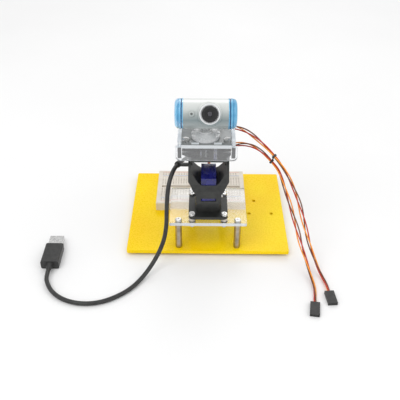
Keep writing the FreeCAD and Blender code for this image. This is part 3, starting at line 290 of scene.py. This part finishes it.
def make_materials():
    return {
        "yellow_acrylic": surface("yellow_acrylic", (0.98, 0.63, 0.0), (1.0, 0.73, 0.0), mottle=22.0,
                                  rough=(0.2, 0.36), grain=700.0, strength=0.03, Specular_IOR_Level=0.16,
                                  Transmission_Weight=0.05, IOR=ACRYLIC_IOR),
        "clear_acrylic": clear_sheet("clear_acrylic", "Z", haze=0.06),
        "clear_plastic": see_through("clear_plastic", (0.86, 0.88, 0.9), (0.98, 0.99, 1.0), rough=(0.06, 0.2),
                                     transmission=0.82, grain=1300.0, strength=0.2),
        "white_plastic": surface("white_plastic", (0.64, 0.58, 0.5), (0.74, 0.69, 0.61), mottle=130.0,
                                 rough=(0.38, 0.55), grain=2600.0, strength=0.1),
        "feet_rubber": surface("feet_rubber", (0.02, 0.02, 0.02), (0.05, 0.05, 0.05), mottle=400.0,
                               rough=(0.7, 0.9), grain=3000.0, strength=0.3),
        "standoff_metal": surface("standoff_metal", (0.3, 0.26, 0.2), (0.52, 0.46, 0.38), mottle=240.0,
                                  rough=(0.26, 0.46), grain=900.0, strength=0.12, stretch=(1.0, 1.0, 6.0),
                                  Metallic=1.0),
        "screw_steel": surface("screw_steel", (0.5, 0.5, 0.5), (0.74, 0.74, 0.73), mottle=500.0,
                               rough=(0.16, 0.36), grain=2400.0, strength=0.08, Metallic=1.0),
        "black_nylon": surface("black_nylon", (0.009, 0.01, 0.009), (0.024, 0.025, 0.023), mottle=260.0,
                               rough=(0.34, 0.56), grain=4200.0, strength=0.22, distance=0.00006,
                               Specular_IOR_Level=0.55),
        "servo_blue": see_through("servo_blue", (0.004, 0.006, 0.12), (0.014, 0.018, 0.26),
                                  rough=(0.12, 0.26), transmission=0.35, grain=900.0, strength=0.06,
                                  Coat_Weight=0.4, Coat_Roughness=0.1),
        "motor_steel": surface("motor_steel", (0.36, 0.36, 0.38), (0.6, 0.6, 0.6), mottle=420.0,
                               rough=(0.2, 0.42), grain=1800.0, strength=0.06, Metallic=1.0),
        "board_green": surface("board_green", (0.004, 0.05, 0.022), (0.01, 0.1, 0.04), mottle=700.0,
                               rough=(0.26, 0.42), grain=2600.0, strength=0.1, Coat_Weight=0.4),
        "gear_nylon": surface("gear_nylon", (0.74, 0.73, 0.68), (0.88, 0.87, 0.83), mottle=380.0,
                              rough=(0.36, 0.5), grain=2600.0, strength=0.08),
        "webcam_silver": silver_shell("webcam_silver"),
        "cap_blue": see_through("cap_blue", (0.1, 0.4, 0.7), (0.18, 0.56, 0.86), rough=(0.1, 0.22),
                                transmission=0.22, grain=1500.0, strength=0.05, Coat_Weight=0.5,
                                Coat_Roughness=0.08),
        "bezel_white": surface("bezel_white", (0.78, 0.8, 0.82), (0.92, 0.93, 0.94), mottle=320.0,
                               rough=(0.2, 0.36), grain=2400.0, strength=0.05, Coat_Weight=0.4,
                               Coat_Roughness=0.1),
        "focus_black": surface("focus_black", (0.006, 0.006, 0.007), (0.018, 0.018, 0.019), mottle=500.0,
                               rough=(0.26, 0.48), grain=3600.0, strength=0.14),
        "lens_glass": see_through("lens_glass", (0.02, 0.018, 0.03), (0.06, 0.05, 0.09), rough=(0.01, 0.05),
                                  transmission=0.6, grain=500.0, strength=0.0, ior=1.6, Coat_Weight=1.0,
                                  Coat_Roughness=0.02),
        "cable_black": surface("cable_black", (0.012, 0.012, 0.012), (0.032, 0.032, 0.031), mottle=300.0,
                               rough=(0.36, 0.52), grain=2600.0, strength=0.12),
        "lead_wires": surface("lead_wires", (0.1, 0.03, 0.01), (0.16, 0.05, 0.015), mottle=500.0,
                              rough=(0.3, 0.45), grain=2500.0, strength=0.08),
    }


def dress_cad_nodes(materials):
    """Puts the slot's material on every CAD node. The cradle's sheets and the foot have their own."""
    front_sheet = clear_sheet("clear_acrylic_front", "Y", haze=0.17)
    shelf_sheet = clear_sheet("clear_acrylic_shelf", "Z", haze=0.55, tint=(0.36, 0.38, 0.38))
    side_sheet = clear_sheet("clear_acrylic_side", "X", haze=0.08)
    foot = see_through("clear_foot", (0.74, 0.76, 0.78), (0.97, 0.98, 0.99), rough=(0.12, 0.3),
                       transmission=0.3, grain=1100.0, strength=0.4, Coat_Weight=0.6)
    own_finish = {"webcam_foot": foot, "cradle_front_panel": front_sheet, "cradle_shelf": shelf_sheet,
                  "cradle_sides": side_sheet}
    for name, node in NODES.items():
        for slot in node.material_slots:
            kind = slot.material.name.split(".")[0] if slot.material else ""
            slot.material = own_finish.get(name) or materials[kind]


# ---------------------------------------------------------------- mesh helpers


def add_piece(name, vertices, faces, materials, indices=None, sharp=35.0):
    mesh = bpy.data.meshes.new(name)
    mesh.from_pydata(vertices, [], faces)
    for material in materials:
        mesh.materials.append(material)
    if indices:
        mesh.polygons.foreach_set("material_index", indices)
    mesh.validate()
    mesh.shade_smooth()
    mesh.set_sharp_from_angle(angle=math.radians(sharp))
    piece = bpy.data.objects.new(name, mesh)
    bpy.context.scene.collection.objects.link(piece)
    return piece


def turned(name, profile, place, materials, bands=None, segments=72, fit=None):
    """A shape turned about its own axis.

    profile is (along, radius) pairs, and place maps (along, a, b) to a point. fit moves the first ring's
    points, to seat it on a curved surface.
    """
    vertices = []
    faces = []
    indices = []
    for ring, (along, radius) in enumerate(profile):
        for k in range(segments):
            angle = 2 * math.pi * k / segments
            a = radius * math.cos(angle)
            b = radius * math.sin(angle)
            reach = fit(a, b) if fit and ring == 0 else along
            vertices.append(place(reach, a, b))
    for ring in range(len(profile) - 1):
        for k in range(segments):
            after = (k + 1) % segments
            faces.append((ring * segments + k, ring * segments + after, (ring + 1) * segments + after,
                          (ring + 1) * segments + k))
            indices.append(bands[ring] if bands else 0)
    if profile[-1][1] > 0.0:
        faces.append(tuple((len(profile) - 1) * segments + k for k in range(segments)))
        indices.append(bands[-1] if bands else 0)
    return add_piece(name, vertices, faces, materials, indices)


# ---------------------------------------------------------------- cords


def nurbs_line(route):
    """Points along the smooth NURBS line whose control points are the route."""
    curve = bpy.data.curves.new("route", "CURVE")
    curve.dimensions = "3D"
    curve.resolution_u = NURBS_STEPS
    spline = curve.splines.new("NURBS")
    spline.points.add(len(route) - 1)
    for point, place in zip(spline.points, route):
        point.co = (*place, 1.0)
    spline.order_u = 3
    spline.use_endpoint_u = True
    guide = bpy.data.objects.new("route", curve)
    bpy.context.scene.collection.objects.link(guide)
    mesh = bpy.data.meshes.new_from_object(guide)
    line = [v.co.copy() for v in mesh.vertices]
    bpy.data.objects.remove(guide)
    bpy.data.curves.remove(curve)
    bpy.data.meshes.remove(mesh)
    return line


def stations(line, side=None, travelled=0.0):
    """(point, side, up, distance) along a line, with a side that turns as little as it can."""
    found = []
    for k, point in enumerate(line):
        way = (line[min(k + 1, len(line) - 1)] - line[max(k - 1, 0)]).normalized()
        if side is None:
            side = way.cross(Vector((0.0, 0.0, 1.0)))
        side = (side - way * side.dot(way)).normalized()
        if k:
            travelled += (point - line[k - 1]).length
        found.append((point, side, side.cross(way), travelled))
    return found


def add_tube(vertices, faces, rings, radius, sides):
    """Adds a closed tube through rings of (centre, side, up)."""
    first = len(vertices)
    for centre, side, up in rings:
        for k in range(sides):
            angle = 2 * math.pi * k / sides
            vertices.append(centre + (side * math.cos(angle) + up * math.sin(angle)) * radius)
    for ring in range(len(rings) - 1):
        start = first + ring * sides
        for k in range(sides):
            after = (k + 1) % sides
            faces.append((start + k, start + after, start + sides + after, start + sides + k))
    faces.append(tuple(first + k for k in reversed(range(sides))))
    faces.append(tuple(len(vertices) - sides + k for k in range(sides)))


def usb_length(name, route, material, node):
    line = nurbs_line(route)
    vertices = []
    faces = []
    add_tube(vertices, faces, [(p, s, u) for p, s, u, _ in stations(line)], USB_DIAMETER / 2, USB_SIDES)
    piece = add_piece(name, vertices, faces, [material], sharp=60.0)
    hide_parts(node)
    return piece, line


def wire_length(name, route, wires, node, start=None, on_table=False):
    """Three loose wires along one route. start carries the side and distance over from the length before."""
    line = nurbs_line(route)
    side, travelled = start if start else (None, 0.0)
    path = stations(line, side, travelled)
    total = path[-1][3] - path[0][3]
    vertices = []
    faces = []
    indices = []
    for k, (_, share) in enumerate(wires):
        rings = []
        for point, side, up, along in path:
            part = (along - path[0][3]) / total
            lift = min(1.0, max(0.0, (point.z - LIFT_START) / LIFT_SPAN)) if on_table else 1.0
            away = WIRE_SPREAD + WIRE_LOOSENESS * share * lift * math.sin(math.pi * part) ** 2
            angle = 2 * math.pi * (k / 3 + along / LAY_LENGTH)
            centre = point + (side * math.cos(angle) + up * math.sin(angle)) * away
            centre.z = max(centre.z, WIRE_RADIUS + TABLE_GAP)
            rings.append((centre, side, up))
        before = len(faces)
        add_tube(vertices, faces, rings, WIRE_RADIUS, WIRE_SIDES)
        indices += [k] * (len(faces) - before)
    piece = add_piece(name, vertices, faces, [material for material, _ in wires], indices, sharp=60.0)
    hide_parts(node)
    return piece, line, (path[-1][1], path[-1][3])


def wire_material(name, dark, light):
    return surface(name, dark, light, mottle=420.0, rough=(0.3, 0.46), grain=2600.0, strength=0.08,
                   Coat_Weight=0.15)


def blend_down(piece):
    """Bakes the cord's placement into its mesh."""
    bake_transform(piece)


def make_cords(materials):
    black = materials["cable_black"]
    tail, line = usb_length("usb_cord_tail", USB_TAIL, black, "usb_cable_tail")
    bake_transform(tail)
    upper, line = usb_length("usb_cord_upper", USB_UPPER, black, "usb_cable_upper")
    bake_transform(upper)
    lower, line = usb_length("usb_cord_lower", USB_LOWER, black, "usb_cable_lower")
    blend_down(lower)
    wires = (
        (wire_material("wire_orange", (0.88, 0.27, 0.015), (1.0, 0.38, 0.03)), 1.0),
        (wire_material("wire_red", (0.42, 0.014, 0.006), (0.6, 0.03, 0.01)), 0.45),
        (wire_material("wire_brown", (0.11, 0.03, 0.01), (0.2, 0.06, 0.02)), 0.8),
    )
    for servo, upper_route, lower_route, upper_length, lower_length in (
        ("tilt", TILT_LEAD_UPPER, TILT_LEAD_LOWER, 0.0844, 0.1285),
        ("pan", PAN_LEAD_UPPER, PAN_LEAD_LOWER, 0.0734, 0.131),
    ):
        piece, line, end = wire_length(servo + "_wires_upper", upper_route, wires, servo + "_lead_upper")
        if servo == "tilt":
            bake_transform(piece)
        else:
            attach(piece, "yoke")
        piece, line, _ = wire_length(servo + "_wires_lower", lower_route, wires, servo + "_lead_lower", end,
                                     True)
        blend_down(piece)


# ---------------------------------------------------------------- webcam


def looking_up(x, y, z):
    """A point beside the barrel's axis, turned with the barrel so that the lens looks up a little."""
    return (x, CAM_Y + y * math.cos(LOOK_UP) + z * math.sin(LOOK_UP),
            CAM_Z - y * math.sin(LOOK_UP) + z * math.cos(LOOK_UP))


def make_caps(materials):
    """The blue end caps: a thin lip on the barrel, a groove, then a crowned, dished cap. The groove and the
    valley before the crown carry painted shade in darker blues.
    """
    # painted shade: darker blues for the faces in the groove and in the valley
    groove = see_through("cap_groove_blue", (0.003, 0.025, 0.1), (0.01, 0.05, 0.16), rough=(0.2, 0.34),
                         transmission=0.04, grain=1500.0, strength=0.05)
    valley = see_through("cap_valley_blue", (0.05, 0.26, 0.5), (0.09, 0.34, 0.6), rough=(0.14, 0.26),
                         transmission=0.15, grain=1500.0, strength=0.05)
    profile = [(0.01762, 0.01178), (0.01765, 0.01192), (0.01778, 0.012), (0.01836, 0.012),
               (0.01848, 0.0119), (0.0185, 0.01179), (0.01935, 0.01179), (0.01937, 0.0119), (0.0195, 0.012),
               (0.02065, 0.012), (0.02085, 0.01192), (0.021, 0.0117), (0.02135, 0.01164), (0.0217, 0.0117),
               (0.02185, 0.01178), (0.0223, 0.01162), (0.023, 0.0112), (0.0236, 0.0106), (0.02405, 0.0099),
               (0.0243, 0.0091), (0.0244, 0.0083), (0.02436, 0.0078), (0.0242, 0.0074), (0.0241, 0.0069),
               (0.02406, 0.003), (0.02406, 0.0006)]
    # band 1 is the groove's painted shade, band 2 the valley's painted shade
    bands = [0, 0, 0, 0, 1, 1, 1, 0, 0, 0, 2, 2, 2, 2] + [0] * 11
    for side, word in ((-1, "left"), (1, "right")):
        cap = turned(f"cap_{word}_turned", profile,
                     lambda along, a, b: (CAM_X + side * along, CAM_Y + a, CAM_Z + b),
                     [materials["cap_blue"], groove, valley], bands)
        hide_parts(f"webcam_{word}_cap")
        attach(cap, "webcam")


def make_bezel(materials):
    """The lens surround: a silver skirt seated on the barrel, and a raised white ring inside it."""
    profile = [(0.0, 0.0098), (0.0112, 0.0097), (0.0121, 0.0096), (0.0127, 0.0092), (0.01295, 0.0088),
               (0.0129, 0.0084), (0.01265, 0.00825), (0.01265, 0.00815), (0.0132, 0.0081),
               (0.01345, 0.0079), (0.01348, 0.0073), (0.0134, 0.0069), (0.0131, 0.00675), (0.0126, 0.0067),
               (0.0126, 0.0046), (0.0122, 0.00442), (0.0070, 0.00442)]
    bands = [0, 0, 0, 0, 0, 0, 0, 1, 1, 1, 1, 1, 1, 1, 1, 1]

    def seat(a, b):
        return math.sqrt(BARREL_RADIUS ** 2 - b ** 2) - SEAT_SINK

    bezel = turned("lens_surround", profile, lambda along, a, b: looking_up(LENS_X + a, -along, b),
                   [materials["webcam_silver"], materials["bezel_white"]], bands, fit=seat)
    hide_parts("webcam_lens_bezel")
    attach(bezel, "webcam")


def make_button_mark(materials):
    """The small black dimple in the middle of the button."""
    profile = [(0.01268, 0.00095), (0.01274, 0.00086), (0.01275, 0.0006), (0.0127, 0.0003), (0.01269, 0.0)]
    mark = turned("button_mark", profile, lambda along, a, b: looking_up(BUTTON_X + a, -along, b),
                  [materials["focus_black"]], segments=24)
    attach(mark, "button")


# ---------------------------------------------------------------- breadboard


def make_breadboard(materials):
    """The breadboard: rows of square holes, a centre channel, parting seams and the rails' painted lines."""
    low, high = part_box("breadboard")
    mid_x = (low.x + high.x) / 2
    mid_y = (low.y + high.y) / 2
    # painted shade: the floors of the holes are near black
    dark = surface("hole_painted_shade", (0.05, 0.045, 0.04), (0.1, 0.09, 0.08), mottle=300.0, rough=(0.5, 0.7),
                   grain=2000.0, strength=0.1)
    red = surface("rail_red", (0.6, 0.12, 0.1), (0.72, 0.2, 0.16), mottle=300.0, rough=(0.4, 0.55),
                  grain=2600.0, strength=0.05)
    blue = surface("rail_blue", (0.08, 0.2, 0.5), (0.16, 0.32, 0.62), mottle=300.0, rough=(0.4, 0.55),
                   grain=2600.0, strength=0.05)
    columns = []
    edge = low.x + BOARD_RIM
    for k in range(COLUMNS):
        x = mid_x + (k - (COLUMNS - 1) / 2) * PITCH
        columns.append((edge, x - HOLE_HALF, None))
        columns.append((x - HOLE_HALF, x + HOLE_HALF, k))
        edge = x + HOLE_HALF
    columns.append((edge, high.x - BOARD_RIM, None))
    # (distance from the middle line, half width, kind)
    marks = [(0.0, CHANNEL_HALF, "channel"), (SEAM_PLACE, SEAM_HALF, "seam")]
    marks += [(FIRST_ROW + k * PITCH, HOLE_HALF, "row") for k in range(ROWS)]
    marks += [(RAIL_ROW, HOLE_HALF, "rail"), (RAIL_ROW + PITCH, HOLE_HALF, "rail"),
              (BLUE_LINE, LINE_HALF, "blue"), (RED_LINE, LINE_HALF, "red")]
    every = [(y, half, kind) for y, half, kind in marks] + [(-y, half, kind) for y, half, kind in marks if y]
    rows = []
    edge = low.y + BOARD_RIM
    for y, half, kind in sorted(every):
        rows.append((edge, mid_y + y - half, "plain"))
        rows.append((mid_y + y - half, mid_y + y + half, kind))
        edge = mid_y + y + half
    rows.append((edge, high.y - BOARD_RIM, "plain"))
    depth = {"channel": CHANNEL_DEPTH, "seam": SEAM_DEPTH}
    paint = {"red": 2, "blue": 3}
    vertices = []
    faces = []
    indices = []
    known = {}

    def point(x, y, down):
        key = (round(x, 7), round(y, 7), round(down, 7))
        if key not in known:
            known[key] = len(vertices)
            vertices.append((x, y, high.z - down))
        return known[key]

    def face(material, *corners):
        faces.append(tuple(point(*c) for c in corners))
        indices.append(material)

    cells = {}
    for i, (x0, x1, column) in enumerate(columns):
        for j, (y0, y1, kind) in enumerate(rows):
            inside = 0 < i < len(columns) - 1
            in_group = column is not None and column % RAIL_GROUP < RAIL_GROUP - 1
            hole = (kind == "row" and column is not None) or (kind == "rail" and in_group)
            down = HOLE_DEPTH if hole else depth.get(kind, 0.0) if inside else 0.0
            # the holes' floors take the painted shade material
            colour = 1 if hole else paint.get(kind, 0) if inside else 0
            cells[i, j] = down
            face(colour, (x0, y0, down), (x1, y0, down), (x1, y1, down), (x0, y1, down))
    for (i, j), down in cells.items():
        x0, x1, _ = columns[i]
        y0, y1, _ = rows[j]
        beside = cells.get((i + 1, j), down)
        if beside != down:
            face(0, (x1, y0, down), (x1, y1, down), (x1, y1, beside), (x1, y0, beside))
        beyond = cells.get((i, j + 1), down)
        if beyond != down:
            face(0, (x0, y1, down), (x1, y1, down), (x1, y1, beyond), (x0, y1, beyond))
    full = high.z - low.z
    for inset, top, wide, under in ((BOARD_RIM, 0.0, 0.0, BOARD_RIM), (0.0, BOARD_RIM, 0.0, full)):
        inner = [(low.x + inset, low.y + inset), (high.x - inset, low.y + inset),
                 (high.x - inset, high.y - inset), (low.x + inset, high.y - inset)]
        outer = [(low.x + wide, low.y + wide), (high.x - wide, low.y + wide),
                 (high.x - wide, high.y - wide), (low.x + wide, high.y - wide)]
        for k in range(4):
            a = inner[k]
            b = inner[(k + 1) % 4]
            c = outer[(k + 1) % 4]
            d = outer[k]
            face(0, (*a, top), (*b, top), (*c, under), (*d, under))
    face(0, (low.x, low.y, full), (low.x, high.y, full), (high.x, high.y, full), (high.x, low.y, full))
    board = add_piece("breadboard_holes", vertices, faces, [materials["white_plastic"], dark, red, blue],
                      indices, sharp=20.0)
    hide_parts("breadboard")
    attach(board, "base")


# ---------------------------------------------------------------- studio


def make_floor():
    mesh = bpy.data.meshes.new("studio_floor")
    corners = [(x * FLOOR_HALF, y * FLOOR_HALF, FLOOR_DROP) for x, y in ((-1, -1), (1, -1), (1, 1), (-1, 1))]
    mesh.from_pydata(corners, [], [(0, 1, 2, 3)])
    floor = bpy.data.objects.new("studio_floor", mesh)
    bpy.context.scene.collection.objects.link(floor)
    mesh.materials.append(surface("floor_white", (0.86, 0.86, 0.86), (0.9, 0.9, 0.9), mottle=3.0,
                                  rough=(0.6, 0.7), grain=60.0, strength=0.01))


def area_light(name, place, aim, size, power):
    data = bpy.data.lights.new(name, "AREA")
    data.shape = "DISK"
    data.size = size
    data.energy = power
    lamp = bpy.data.objects.new(name, data)
    lamp.location = place
    lamp.rotation_euler = (Vector(aim) - Vector(place)).to_track_quat("-Z", "Y").to_euler()
    bpy.context.scene.collection.objects.link(lamp)


def make_studio():
    scene = bpy.context.scene
    world = bpy.data.worlds.new("studio")
    world.use_nodes = True
    world.node_tree.nodes["Background"].inputs["Color"].default_value = (1.0, 1.0, 1.0, 1.0)
    world.node_tree.nodes["Background"].inputs["Strength"].default_value = WORLD_STRENGTH
    scene.world = world
    scene.view_settings.view_transform = "Standard"
    make_floor()
    for light in LIGHTS:
        area_light(*light)


def make_camera():
    data = bpy.data.cameras.new("camera")
    data.lens = CAMERA_LENS
    data.sensor_width = CAMERA_SENSOR
    camera = bpy.data.objects.new("camera", data)
    turn = Matrix.Rotation(math.radians(CAMERA_TURN), 4, "Z")
    pitch = Matrix.Rotation(math.radians(CAMERA_PITCH), 4, "X")
    roll = Matrix.Rotation(math.radians(CAMERA_ROLL), 4, "Z")
    camera.matrix_world = Matrix.Translation(CAMERA_PLACE) @ turn @ pitch @ roll
    bpy.context.scene.collection.objects.link(camera)
    bpy.context.scene.camera = camera


make_camera()
make_studio()
MATERIALS = make_materials()
dress_cad_nodes(MATERIALS)
make_cords(MATERIALS)
make_breadboard(MATERIALS)
make_caps(MATERIALS)
make_bezel(MATERIALS)
make_button_mark(MATERIALS)
